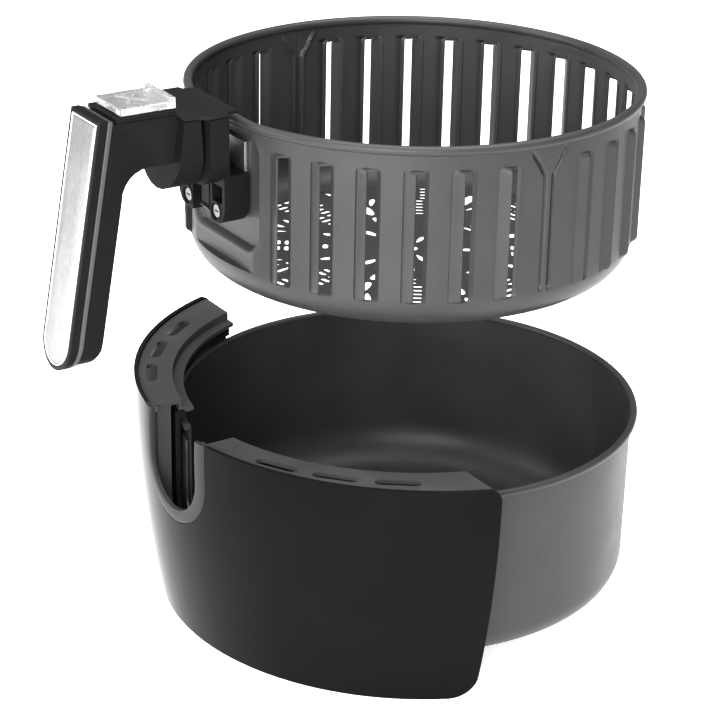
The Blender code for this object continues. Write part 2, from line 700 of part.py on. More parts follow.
def make_deck():
    """Rail deck on the arm, with the opening for the button."""
    outline = [(-0.0145, -DECK_BACK), (0.0145, -DECK_BACK), (0.0145, -0.1694), (-0.0145, -0.1694)]
    deck = prism("handle_deck", outline, ARM_TOP + GAP, DECK_TOP, "Z", BLACK_PLASTIC)
    side, along = BUTTON_HALF[0] + 0.0004, BUTTON_HALF[1] + 0.0004
    hole = ((-side, BUTTON_Y - along, 0.26), (side, BUTTON_Y + along, 0.28))
    boolean(deck, box("deck_hole", *hole, hidden=True))
    return deck


def make_button():
    side, along = BUTTON_HALF
    cap = (-side, BUTTON_Y - along, 0.2650), (side, BUTTON_Y + along, 0.2692)
    button = box("release_button", *cap, GREY_PLASTIC)
    low = (-side - FLANGE, BUTTON_Y - along - FLANGE, 0.2642)
    high = (side + FLANGE, BUTTON_Y + along + FLANGE, 0.2666)
    boolean(button, box("button_flange", low, high, hidden=True), "UNION")
    low, high = (-0.0025, BUTTON_Y - 0.0015, 0.2603), (0.0025, BUTTON_Y + 0.0015, 0.2650)
    boolean(button, box("button_stem", low, high, hidden=True), "UNION")
    return button


def coil(name, start, axis, radius, wire, turns, length, points_a_turn, material):
    """A coil spring as a tube along a helix."""
    curve = bpy.data.curves.new(name, "CURVE")
    curve.dimensions = "3D"
    curve.bevel_depth = wire
    curve.bevel_resolution = 1
    curve.use_fill_caps = True
    spline = curve.splines.new("POLY")
    count = turns * points_a_turn + 1
    spline.points.add(count - 1)
    for number, point in enumerate(spline.points):
        angle = 2 * pi * number / points_a_turn
        along = length * number / (count - 1)
        if axis == "Z":
            offset = (radius * cos(angle), radius * sin(angle), along)
        else:
            offset = (along, radius * cos(angle), radius * sin(angle))
        point.co = (*(a + b for a, b in zip(start, offset)), 1)
    spring = bpy.data.objects.new(name, curve)
    PARTS.objects.link(spring)
    curve.materials.append(material)
    return spring


def make_springs():
    floor = POCKET_FLOOR + GAP + 0.0004
    coil("button_spring", (0, BUTTON_Y - 0.0053, floor), "Z", 0.0021, 0.0003, 5, 0.0096, 10, SCREW_STEEL)
    coil("latch_spring", (0.0045, PIVOT_Y, PIVOT_Z), "X", 0.0023, 0.0003, 3, 0.0034, 10, SCREW_STEEL)


def make_latch_pin():
    bm = bmesh.new()
    add_rod(bm, (-PIN_HALF, PIVOT_Y, PIVOT_Z), (PIN_HALF, PIVOT_Y, PIVOT_Z), PIN_R, 16)
    return add_object("latch_pin", bm, BARE_STEEL)


def make_latch_lever():
    """Rocker: an arm under the button, and a leg with a hook that hangs in the box's channel."""
    outline = [(-0.1522, 0.2570), (-0.1522, 0.2600), (-0.1260, 0.2600), (-0.1240, 0.2618)]
    outline += [(-0.1200, 0.2618), (-0.1145, 0.2580), (-0.1145, 0.2140), (-0.1165, 0.2140)]
    outline += [(-0.1182, 0.2158), (-0.1170, 0.2172), (-0.1170, 0.2538), (-0.1200, 0.2555)]
    outline += [(-0.1245, 0.2555), (-0.1260, 0.2570)]
    lever = prism("latch_lever", outline, -LEVER_HALF, LEVER_HALF, "X", BLACK_PLASTIC)
    bm = bmesh.new()
    add_rod(bm, (-PIN_HALF, PIVOT_Y, PIVOT_Z), (PIN_HALF, PIVOT_Y, PIVOT_Z), PIN_R + RUN, 16)
    boolean(lever, add_object("lever_bore", bm, hidden=True))
    return lever


def make_guard():
    """Clear sliding cover with a thumb ridge at its basket end."""
    low, high = (-GUARD_HALF, -GUARD_FRONT, GUARD_LOW), (GUARD_HALF, -GUARD_BACK, GUARD_TOP)
    guard = box("button_guard", low, high, CLEAR)
    ridge = [(-0.1385, 0.2725), (-0.1385, RIDGE_TOP - 0.0006), (-0.1391, RIDGE_TOP), (-0.1412, RIDGE_TOP)]
    ridge += [(-0.1420, RIDGE_TOP - 0.0008), (-0.1438, 0.2725)]
    boolean(guard, prism("guard_ridge", ridge, -GUARD_HALF, GUARD_HALF, "X", hidden=True), "UNION")
    bevel(guard, 0.0004, 1)
    return guard


clear_scene()
PARTS = make_collection("air_fryer_drawer_set")
CUTTERS = make_collection("cutters", hidden=True)

STEEL = make_material("nonstick_steel", (0.10, 0.10, 0.105), 0.5, 0.4)
BARE_STEEL = make_material("bare_steel", (0.55, 0.55, 0.56), 0.35, 1.0)
SCREW_STEEL = make_material("screw_steel", (0.62, 0.62, 0.63), 0.3, 1.0)
GLOSS_BLACK = make_material("gloss_black", (0.012, 0.012, 0.013), 0.12)
BLACK_PLASTIC = make_material("black_plastic", (0.035, 0.035, 0.036), 0.5)
GREY_PLASTIC = make_material("grey_plastic", (0.13, 0.13, 0.135), 0.5)
BRUSHED = make_material("brushed_insert", (0.68, 0.68, 0.69), 0.3, 1.0)
CLEAR = make_material("clear_plastic", (0.95, 0.95, 0.95), 0.05, 0.0, 0.3)

make_pan()
make_pan_bracket()
make_front_panel()
make_bezel()
make_top_cover()
make_panel_frame()
make_panel_screws()
make_latch_catch()
make_basket()
make_basket_bracket()
make_bracket_housing()
make_bracket_screws()
make_handle_core()
make_grip_layers()
make_top_plate()
make_deck()
make_button()
make_springs()
make_latch_pin()
make_latch_lever()
make_guard()
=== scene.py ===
"""Looks of a round air fryer's drawer set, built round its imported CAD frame.

Metres, +Z up, in the frame of the CAD model. The handle points to -Y. Angles round the
vessels are in degrees from the handle, counted towards +X.
"""

from math import atan2, cos, degrees, hypot, pi, radians, sin, sqrt

import bmesh
import bpy
from mathutils import Matrix, Vector


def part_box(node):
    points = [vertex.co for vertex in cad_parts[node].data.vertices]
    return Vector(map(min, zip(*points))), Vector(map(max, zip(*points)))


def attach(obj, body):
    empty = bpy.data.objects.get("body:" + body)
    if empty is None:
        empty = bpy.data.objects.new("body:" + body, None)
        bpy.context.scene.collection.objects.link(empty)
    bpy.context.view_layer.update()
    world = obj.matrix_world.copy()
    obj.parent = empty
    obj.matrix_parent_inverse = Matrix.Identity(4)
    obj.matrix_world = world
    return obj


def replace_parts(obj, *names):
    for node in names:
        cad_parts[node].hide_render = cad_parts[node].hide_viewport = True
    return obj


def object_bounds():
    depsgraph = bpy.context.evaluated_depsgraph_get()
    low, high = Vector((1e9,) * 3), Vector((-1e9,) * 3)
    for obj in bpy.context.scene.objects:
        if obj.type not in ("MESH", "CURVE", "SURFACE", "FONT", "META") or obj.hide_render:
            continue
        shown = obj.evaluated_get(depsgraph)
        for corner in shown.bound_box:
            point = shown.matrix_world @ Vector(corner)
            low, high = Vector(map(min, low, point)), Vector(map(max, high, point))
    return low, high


SHEET = 0.001  # steel sheet of the vessels

# Basket
WALL_R = 0.1104
FLAT_DEPTH = 0.0034  # how far the front is pressed flat
RECESS_DEPTH = 0.0062  # and the recess behind the bracket
FOOT_CORNER = 0.017
RIM_BEAD = 0.0023
DIVISIONS = 32
SLOT_HALF = 0.005
SLOT_START = 0.015  # above the floor
SLOT_END = 0.0115  # below the rim
SLOT_CORNER = 0.0016
FLAP_OUT = 0.0027
FLAP_IN = 0.0011
GAP_RIGHT = 0.0047
FLAP_EDGE = 0.0004  # where the flap's free edge stands, from the slot's middle
PLAIN_EDGE = 0.0082  # how far the plain strip beside a slot reaches, from the slot's middle
HEM = 0.0019  # bent strip on the open side of a slot
HEM_TUCK = 0.0009  # how far that strip is bent inwards
FORK_RISE = 0.0105  # height of the pressed Y's arms
FORK_LINE = 0.0023  # from the middle of the Y to each line of its stem
FORK_SPREAD = 0.0066  # how much further apart the arms end
FORK_DEPTH, FORK_HALF = 0.0019, 0.0013
EMBOSS_HALF, EMBOSS_CORNER, EMBOSS_STEP = 0.0305, 0.009, 0.0016  # the recess behind the bracket

# Pan
PAN_WALL_R = 0.1162
PAN_CORNER = 0.014
PAN_FILLET = 0.022  # the larger curve inside, at the floor
PAN_BEAD = 0.0019
PAN_CUT_HALF = 0.0245
PAN_CUT_Z = 0.043

# Front panel
PANEL_R = (0.1472, 0.1322)  # at the top, at the bottom
PANEL_CENTRE = (0.0088, 0.0057)
PANEL_BELLY = 1.83
PANEL_END_Y = -0.0395
PANEL_THICK = 0.0022
CORNERS = (0.006, 0.013)
BEZEL = (0.030, 0.0550)  # half width, lowest height
NOTCH = (0.022, 0.0625)

# Grip
GRIP_TOP, GRIP_LOW = 0.2693, 0.1495
GRIP_FRONT, GRIP_SLOPE = 0.1779, 0.170
GRIP_HALF = 0.0143
COVER_DEPTH = 0.0044
BAND_DEPTH = 0.0030
INSERT_HALF = 0.0121
INSERT_LOW = 0.0024  # above the grip's lower end
INSERT_TOP = 0.2676

# Small mouldings
BOX_FRONT = -0.1190  # front face of the bracket box
BOSS_R, BOSS_BEAD = 0.0047, 0.0008
PLATE_TOP = 0.2732  # top face of the guard's plate
CROSS_Y = -0.1548
MARK_R, MARK_ANGLE = 0.1262, 16  # ticks on the ledge, beside the notch


# ---------------------------------------------------------------- materials


def node_material(name):
    material = bpy.data.materials.new(name)
    material.use_nodes = True
    tree = material.node_tree
    return material, tree, tree.nodes["Principled BSDF"]


def add_noise(tree, scale, detail=4.0, stretch=(1, 1, 1)):
    """Noise in the object's own coordinates. The scale counts features per metre."""
    place = tree.nodes.new("ShaderNodeTexCoord")
    mapping = tree.nodes.new("ShaderNodeMapping")
    mapping.inputs["Scale"].default_value = stretch
    noise = tree.nodes.new("ShaderNodeTexNoise")
    noise.inputs["Scale"].default_value = scale
    noise.inputs["Detail"].default_value = detail
    tree.links.new(place.outputs["Object"], mapping.inputs["Vector"])
    tree.links.new(mapping.outputs["Vector"], noise.inputs["Vector"])
    return noise


def mapped(tree, socket, low, high, start=0.3, end=0.7):
    """The socket's value, carried from start..end to low..high."""
    node = tree.nodes.new("ShaderNodeMapRange")
    for name, value in (("From Min", start), ("From Max", end), ("To Min", low), ("To Max", high)):
        node.inputs[name].default_value = value
    tree.links.new(socket, node.inputs["Value"])
    return node.outputs["Result"]


def ramp(tree, socket, stops):
    node = tree.nodes.new("ShaderNodeValToRGB")
    node.color_ramp.elements[0].position, node.color_ramp.elements[0].color = stops[0][0], (*stops[0][1], 1)
    node.color_ramp.elements[1].position, node.color_ramp.elements[1].color = stops[-1][0], (*stops[-1][1], 1)
    for position, colour in stops[1:-1]:
        node.color_ramp.elements.new(position).color = (*colour, 1)
    tree.links.new(socket, node.inputs["Fac"])
    return node.outputs["Color"]


def add_bump(tree, shader, socket, strength, distance):
    node = tree.nodes.new("ShaderNodeBump")
    node.inputs["Strength"].default_value = strength
    node.inputs["Distance"].default_value = distance
    tree.links.new(socket, node.inputs["Height"])
    tree.links.new(node.outputs["Normal"], shader.inputs["Normal"])


def edge_wear(tree, amount):
    """1 on sharp edges and 0 on flat faces, from the surface's own curvature."""
    geometry = tree.nodes.new("ShaderNodeNewGeometry")
    return mapped(tree, geometry.outputs["Pointiness"], 0.0, amount, 0.52, 0.60)


def moulded(name, grey, rough, grain=2600, depth=0.00003, specular=0.5):
    """Moulded plastic: a fine grain, cloudy gloss and slightly paler edges."""
    material, tree, shader = node_material(name)
    fine = add_noise(tree, grain, 3.0)
    cloud = add_noise(tree, 38, 5.0)
    dark, pale = grey * 0.86, grey * 1.16
    base = ramp(tree, cloud.outputs["Fac"], ((0.3, (dark, dark, dark)), (0.7, (pale, pale, pale))))
    mix = tree.nodes.new("ShaderNodeMix")
    mix.data_type = "RGBA"
    mix.inputs[7].default_value = (grey * 2.2 + 0.012,) * 3 + (1,)
    tree.links.new(edge_wear(tree, 0.12), mix.inputs[0])
    tree.links.new(base, mix.inputs[6])
    tree.links.new(mix.outputs[2], shader.inputs["Base Color"])
    tree.links.new(mapped(tree, cloud.outputs["Fac"], rough - 0.05, rough + 0.07), shader.inputs["Roughness"])
    shader.inputs["Specular IOR Level"].default_value = specular
    add_bump(tree, shader, fine.outputs["Fac"], 0.35, depth)
    return material


def coated(name, grey, rough, fleck):
    """Non-stick coating on steel: an orange-peel skin with fine metallic flecks."""
    material, tree, shader = node_material(name)
    cloud = add_noise(tree, 26, 6.0)
    place = tree.nodes.new("ShaderNodeTexCoord")
    grains = tree.nodes.new("ShaderNodeTexVoronoi")
    grains.inputs["Scale"].default_value = 2400
    tree.links.new(place.outputs["Object"], grains.inputs["Vector"])
    dark, pale = grey * 0.88, grey * 1.14
    base = ramp(tree, cloud.outputs["Fac"], ((0.3, (dark, dark, dark)), (0.7, (pale, pale, pale * 1.02))))
    spots = mapped(tree, grains.outputs["Distance"], 1.0, 0.0, 0.06, 0.22)
    mix = tree.nodes.new("ShaderNodeMix")
    mix.data_type = "RGBA"
    mix.inputs[7].default_value = (fleck, fleck, fleck * 1.02, 1)
    tree.links.new(spots, mix.inputs[0])
    tree.links.new(base, mix.inputs[6])
    tree.links.new(mix.outputs[2], shader.inputs["Base Color"])
    shader.inputs["Metallic"].default_value = 0.22
    shader.inputs["Specular IOR Level"].default_value = 0.20
    tree.links.new(mapped(tree, cloud.outputs["Fac"], rough - 0.05, rough + 0.06), shader.inputs["Roughness"])
    peel = add_noise(tree, 900, 3.0)
    add_bump(tree, shader, peel.outputs["Fac"], 0.5, 0.00010)
    return material


def brushed(name, grey, rough, scale, stretch, depth=0.00002):
    """Metal brushed along the axis where the stretch is smallest."""
    material, tree, shader = node_material(name)
    lines = add_noise(tree, scale, 6.0, stretch)
    cloud = add_noise(tree, 30, 3.0)
    dark, pale = grey * 0.82, min(grey * 1.12, 0.96)
    base = ramp(tree, lines.outputs["Fac"], ((0.35, (dark, dark, dark)), (0.65, (pale, pale, pale))))
    tree.links.new(base, shader.inputs["Base Color"])
    shader.inputs["Metallic"].default_value = 1.0
    tree.links.new(mapped(tree, cloud.outputs["Fac"], rough - 0.04, rough + 0.06), shader.inputs["Roughness"])
    add_bump(tree, shader, lines.outputs["Fac"], 0.5, depth)
    return material


def polished(name):
    """Polished black moulding with a faint waviness and hairline marks."""
    material, tree, shader = node_material(name)
    wave = add_noise(tree, 14, 2.0)
    marks = add_noise(tree, 700, 2.0, (1, 1, 0.02))
    base = ramp(tree, wave.outputs["Fac"], ((0.3, (0.0015, 0.0015, 0.0016)), (0.7, (0.0028, 0.0028, 0.0030))))
    tree.links.new(base, shader.inputs["Base Color"])
    tree.links.new(mapped(tree, marks.outputs["Fac"], 0.10, 0.17), shader.inputs["Roughness"])
    shader.inputs["Specular IOR Level"].default_value = 0.035
    add_bump(tree, shader, wave.outputs["Fac"], 0.25, 0.0002)
    return material


def clear_plastic(name, rough, tone):
    material, tree, shader = node_material(name)
    haze = add_noise(tree, 240, 4.0)
    base = ramp(tree, haze.outputs["Fac"], ((0.3, (tone, tone, tone)), (0.7, (tone + 0.04,) * 3)))
    tree.links.new(base, shader.inputs["Base Color"])
    tree.links.new(mapped(tree, haze.outputs["Fac"], rough, rough + 0.08), shader.inputs["Roughness"])
    shader.inputs["Transmission Weight"].default_value = 0.92
    shader.inputs["IOR"].default_value = 1.46
    add_bump(tree, shader, haze.outputs["Fac"], 0.5, 0.0003)
    return material


# ------------------------------------------------------------------- meshes


def mesh_object(name, points, faces, body, material, slot, angle=35):
    mesh = bpy.data.meshes.new(name)
    mesh.from_pydata([tuple(p) for p in points], [], faces)
    bm = bmesh.new()
    bm.from_mesh(mesh)
    bmesh.ops.remove_doubles(bm, verts=bm.verts, dist=0.000004)
    bmesh.ops.recalc_face_normals(bm, faces=bm.faces)
    bm.to_mesh(mesh)
    bm.free()
    mesh.materials.append(material)
    mesh.shade_smooth()
    mesh.set_sharp_from_angle(angle=radians(angle))
    obj = bpy.data.objects.new(name, mesh)
    bpy.context.scene.collection.objects.link(obj)
    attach(obj, body)
    return obj


def bridge(rows, closed_across=False, closed_along=False):
    """Points and quads between rows of equal length."""
    points = [p for row in rows for p in row]
    wide, faces = len(rows[0]), []
    last_row = len(rows) if closed_along else len(rows) - 1
    last = wide if closed_across else wide - 1
    for i in range(last_row):
        j = (i + 1) % len(rows)
        for k in range(last):
            m = (k + 1) % wide
            faces.append((i * wide + k, i * wide + m, j * wide + m, j * wide + k))
    return points, faces


def loft(name, loops, body, material, slot, angle=35):
    """A closed solid through loops of equal length, capped at both ends."""
    points, faces = bridge(loops, closed_across=True)
    wide = len(loops[0])
    faces.append(tuple(range(wide)))
    faces.append(tuple(range(len(points) - wide, len(points))))
    return mesh_object(name, points, faces, body, material, slot, angle)


def add_modifier(obj, kind, **settings):
    modifier = obj.modifiers.new(kind.lower(), kind)
    for key, value in settings.items():
        setattr(modifier, key, value)
    return modifier


def apply_modifiers(obj):
    """Bakes the modifiers into the mesh, so that a cutter can be removed."""
    bpy.context.view_layer.update()
    made = bpy.data.meshes.new_from_object(obj.evaluated_get(bpy.context.evaluated_depsgraph_get()))
    obj.modifiers.clear()
    obj.data = made


def cut(obj, points, faces):
    """Cuts the object with a closed mesh that is removed afterwards."""
    mesh = bpy.data.meshes.new("cutter")
    mesh.from_pydata([tuple(p) for p in points], [], faces)
    bm = bmesh.new()
    bm.from_mesh(mesh)
    bmesh.ops.recalc_face_normals(bm, faces=bm.faces)
    bm.to_mesh(mesh)
    bm.free()
    tool = bpy.data.objects.new("cutter", mesh)
    bpy.context.scene.collection.objects.link(tool)
    add_modifier(obj, "BOOLEAN", operation="DIFFERENCE", object=tool, solver="EXACT")
    apply_modifiers(obj)
    bpy.data.objects.remove(tool)


def extruded(outline, low, high):
    """Points and faces of an (x, z) outline drawn out along Y."""
    count = len(outline)
    points = [(x, low, z) for x, z in outline] + [(x, high, z) for x, z in outline]
    faces = [tuple(range(count)), tuple(range(count, 2 * count))]
    faces += [(i, (i + 1) % count, (i + 1) % count + count, i + count) for i in range(count)]
    return points, faces


def arc(centre, radius, first, last, steps):
    """Points of a circle between two angles in degrees, both ends included."""
    angles = [radians(first + (last - first) * i / steps) for i in range(steps + 1)]
    return [(centre[0] + radius * cos(a), centre[1] + radius * sin(a)) for a in angles]


def u_outline(half, low, high, steps=24):
    """A U shape: straight sides and a half-round bottom, as (x, z) points."""
    return [(-half, high)] + arc((0, low + half), half, 180, 360, steps) + [(half, high)]


def rounded_u(half, low, high, corner, steps=8):
    left = arc((corner - half, low + corner), corner, 180, 270, steps)
    right = arc((half - corner, low + corner), corner, 270, 360, steps)
    return [(-half, high)] + left + right + [(half, high)]


def polar(radius, angle, z):
    """Point at an angle in degrees from the handle."""
    a = radians(angle)
    return Vector((radius * sin(a), -radius * cos(a), z))


def bump_at(distance, half):
    """Smooth bump of height 1 and of a half width."""
    return (1 + cos(pi * distance / half)) / 2 if abs(distance) < half else 0.0


# ------------------------------------------------------------------- basket


def basket_levels(floor, top):
    """Heights of the wall's rows, close together at the slots' ends and at the pressed fork."""
    low, high = floor + SLOT_START, top - SLOT_END
    ends = [0, 0.0001, 0.0003, 0.0006, 0.001, 0.0016, 0.0022, 0.0028, 0.0036, 0.005]
    rows = [low + e for e in ends]
    straight = high - low - 2 * SLOT_HALF
    rows += [low + SLOT_HALF + straight * i / 50 for i in range(1, 50)]
    rows += [high - e for e in reversed(ends)]
    above = top - RIM_BEAD - 0.0005
    rows += [high + (above - high) * i / 6 for i in range(1, 7)]
    corner_top = floor + FOOT_CORNER
    return [low - 0.0006], [z for z in rows if z > low], low, high, corner_top


def slot_bounds(z, low, high):
    """Left and right edge of the gap at a height: small round corners, straight sides."""
    edge = min(z - low, high - z)
    inset = 0.0
    if edge < SLOT_CORNER:
        inset = SLOT_CORNER - sqrt(max(SLOT_CORNER**2 - (SLOT_CORNER - max(edge, 0)) ** 2, 0))
    return inset - SLOT_HALF, GAP_RIGHT - inset


def flap_rise(edge):
    """How much of its full tilt the flap has at a distance from the slot's end."""
    part = min(max(edge, 0) / 0.0030, 1)
    return sqrt(1 - (1 - part) ** 2)


def fork_offset(x, z, middle_low, middle_high):
    """Pressed groove in the shape of a Y: a stem of two lines that part at the top."""
    across = abs(x)
    fork = middle_high - FORK_RISE
    if z < fork:
        line = FORK_LINE
    else:
        line = FORK_LINE + (z - fork) / FORK_RISE * FORK_SPREAD
    ends = bump_at(max(middle_low + 0.002 - z, 0, z - middle_high + 0.001), 0.004)
    groove = -FORK_DEPTH * bump_at(across - line, FORK_HALF) * ends
    return groove + 0.0003 * bump_at(x, 0.0014) * ends


def emboss_distance(x, z, low, high):
    """Distance outside a rounded rectangle on the front, negative inside it."""
    half_x, half_z, corner = EMBOSS_HALF, (high - low) / 2, EMBOSS_CORNER
    dx = abs(x) - half_x + corner
    dz = abs(z - (high + low) / 2) - half_z + corner
    return hypot(max(dx, 0), max(dz, 0)) + min(max(dx, dz), 0) - corner


def pressed(point, emboss=None):
    """Presses the front of the wall flat, and deeper inside the recess that holds the bracket."""
    radius = hypot(point.x, point.y)
    point.y = max(point.y, FLAT_DEPTH - radius)
    if emboss:
        distance = emboss_distance(point.x, point.z, *emboss)
        step = 1 - min(max((distance + EMBOSS_STEP) / EMBOSS_STEP, 0), 1)
        step = step * step * (3 - 2 * step)
        floor_y = RECESS_DEPTH - WALL_R
        point.y += max(floor_y - point.y, 0) * step
        point.y -= 0.0004 * bump_at(distance - 0.0012, 0.0012)
    return point


def make_basket(coat):
    """Sheet wall with folded louvres, from the foot's corner up to the rim."""
    low_corner, top = (c.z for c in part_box("basket"))
    floor = low_corner
    before, levels, low, high, corner_top = basket_levels(floor, top)
    foot_r = WALL_R - 0.0002
    corner = arc((foot_r - FOOT_CORNER, floor + FOOT_CORNER), FOOT_CORNER, 270, 360, 12)
    corner_rows = [(r, z) for r, z in corner if z < before[0] - 0.0004]
    pitch = 360 / DIVISIONS
    pitch_x = radians(pitch) * WALL_R
    plain = {0, 1, DIVISIONS - 1}
    ribs = {DIVISIONS // 4, DIVISIONS * 3 // 4}
    flap_parts = [0, 0.05, 0.2, 0.4, 0.6, 0.8, 0.95, 1]
    fine, coarse = 44, 16  # columns of a pressed and of a slotted division
    widths = [coarse if d not in plain | ribs else fine for d in range(DIVISIONS)]
    starts = [sum(widths[:d]) for d in range(DIVISIONS)]
    rows, cells = [], set()
    profile = corner_rows + [(None, z) for z in before + [low] + levels]
    for number, (corner_r, z) in enumerate(profile):
        row = []
        past = z >= corner_top
        edge = min(z - low, high - z)
        curve_r = WALL_R - FOOT_CORNER + sqrt(max(FOOT_CORNER**2 - (corner_top - z) ** 2, 0))
        base_r = corner_r or (WALL_R if past else curve_r)
        for division in range(DIVISIONS):
            left, right = slot_bounds(z, low, high)
            free = min(FLAP_EDGE, right - 0.0001)
            is_slot = division not in plain | ribs
            flap = [left + (free - left) * p for p in flap_parts]
            if not is_slot:
                xs = [-pitch_x / 2 + pitch_x * i / fine for i in range(fine)]
            else:
                edge_x = right + HEM
                xs = [-pitch_x / 2, -PLAIN_EDGE, left - 0.0004, left - 0.0001, *flap]
                xs += [right, edge_x - 0.0002, edge_x, edge_x + 0.0003]
            for column, x in enumerate(xs):
                out = 0.0
                if is_slot:
                    rise = flap_rise(edge)
                    if 4 <= column <= 11:
                        part = (x - left) / max(free - left, 1e-6)
                        out = rise * (FLAP_OUT * part - FLAP_IN * (1 - part) * min(part * 14, 1))
                    elif column in (12, 13):
                        out = -HEM_TUCK * rise * (1, 0.45)[column - 12]
                elif division in ribs:
                    out = fork_offset(x, z, low + 0.002, high + 0.004)
                angle = division * pitch + degrees(x / WALL_R)
                point = polar(base_r + out, angle, z)
                row.append(pressed(point, (low + 0.012, high + 0.0045)) if past else point)
            between = number and low < (z + profile[number - 1][1]) / 2 < high
            if between and is_slot and right > 0.0014 and edge > 0.0007:
                cells.add((number - 1, starts[division] + 11))
        rows.append(row)
    points, faces = bridge(rows, closed_across=True)
    wide = sum(widths)
    faces = [f for i, f in enumerate(faces) if (i // wide, i % wide) not in cells]
    wall = mesh_object("basket_wall", points, faces, "basket", coat, "nonstick_steel", 50)
    face_outwards(wall)
    add_modifier(wall, "SOLIDIFY", thickness=0.0009, offset=-1, use_even_offset=False)
    add_modifier(wall, "BEVEL", width=0.0002, segments=1, limit_method="ANGLE", angle_limit=radians(60))
    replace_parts(wall, "basket")
    make_rim("basket_rim", WALL_R, top - RIM_BEAD, RIM_BEAD, 0, 360, "basket", coat, pressed)
    make_basket_floor(coat, floor, corner_rows[0][0])


def face_outwards(obj):
    """Turns the faces of an open wall so that they look away from the axis."""
    total = sum(f.normal.x * f.center.x + f.normal.y * f.center.y for f in obj.data.polygons)
    if total < 0:
        obj.data.flip_normals()


def make_rim(name, radius, z, bead, first, last, body, material, change=lambda p: p):
    """Rolled edge: a bead along the rim, round or between two angles."""
    whole = last - first >= 360
    steps = 240
    rows = []
    for i in range(steps if whole else steps + 1):
        angle = first + (last - first) * i / steps
        section = arc((radius, z), bead, 0, 360, 16)[:-1]
        rows.append([change(polar(r, angle, h)) for r, h in section])
    points, faces = bridge(rows, closed_across=True, closed_along=whole)
    if not whole:
        faces += [tuple(range(16)), tuple(range(len(points) - 16, len(points)))]
    return mesh_object(name, points, faces, body, material, "nonstick_steel", 60)


def turned_outline(outline, angle):
    """Carries (radius, across) points to an angle from the handle, as (x, y)."""
    turn = radians(angle)
    return [(r * sin(turn) + w * cos(turn), -r * cos(turn) + w * sin(turn)) for r, w in outline]


def leaf(radius, angle, half_length, near, far, count=12, slant=0.0):
    """Hole outline along a radius: half widths near and far from the axis."""
    outline = []
    for i in range(count):
        a = 2 * pi * i / count
        along, width = half_length * cos(a), (near + (far - near) * (cos(a) + 1) / 2) * sin(a)
        outline.append((radius + along, width + slant * along))
    return turned_outline(outline, angle)


def rung(radius, angle, offset, half_length, half_width):
    """Hole outline across a radius, with rounded ends."""
    ends = arc((half_length - half_width, 0), half_width, -90, 90, 4)
    ends += arc((half_width - half_length, 0), half_width, 90, 270, 4)
    return turned_outline([(radius - b, offset + a) for a, b in ends], angle)


def floor_holes():
    """Outlines of the floor's holes: eight ladders of short slots between eight fans of leaves."""
    for sector in range(8):
        ladder = 11.25 + 45 * sector
        for step in range(11):
            radius = 0.0905 - 0.0048 * step
            count = max(1, int(radius * 0.34 / 0.0085))
            for i in range(count):
                offset = (i - (count - 1) / 2) * 0.0082
                yield rung(radius, ladder, offset, 0.0033, 0.0013)
        fan = 33.75 + 45 * sector
        yield leaf(0.0790, fan, 0.0100, 0.0022, 0.0036)
        yield leaf(0.0585, fan, 0.0078, 0.0026, 0.0034)
        yield leaf(0.0420, fan, 0.0062, 0.0016, 0.0028)
        for side in (-1, 1):
            yield leaf(0.0855, fan + side * 5.6, 0.0062, 0.0010, 0.0022, slant=side * 0.35)
            yield leaf(0.0700, fan + side * 5.8, 0.0056, 0.0010, 0.0020, slant=side * 0.35)
        yield leaf(0.0280, ladder, 0.0058, 0.0014, 0.0030)
        yield leaf(0.0140, fan, 0.0052, 0.0008, 0.0022)


def make_basket_floor(coat, z, edge):
    """Floor sheet with a sunburst of holes."""
    bm = bmesh.new()
    edges = []

    def ring(outline):
        verts = [bm.verts.new((x, y, z)) for x, y in outline]
        edges.extend(bm.edges.new((a, b)) for a, b in zip(verts, verts[1:] + verts[:1]))

    ring([(edge * sin(2 * pi * i / 240), -edge * cos(2 * pi * i / 240)) for i in range(240)])
    for outline in floor_holes():
        ring(outline)
    ring([(0.004 * cos(2 * pi * i / 16), 0.004 * sin(2 * pi * i / 16)) for i in range(16)])
    bmesh.ops.triangle_fill(bm, use_beauty=True, use_dissolve=False, edges=edges, normal=(0, 0, -1))
    mesh = bpy.data.meshes.new("basket_floor")
    bm.to_mesh(mesh)
    bm.free()
    mesh.materials.append(coat)
    obj = bpy.data.objects.new("basket_floor", mesh)
    bpy.context.scene.collection.objects.link(obj)
    if mesh.polygons and mesh.polygons[0].normal.z > 0:
        mesh.flip_normals()
    add_modifier(obj, "SOLIDIFY", thickness=0.0006, offset=-1)
    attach(obj, "basket")


# ---------------------------------------------------------------------- pan


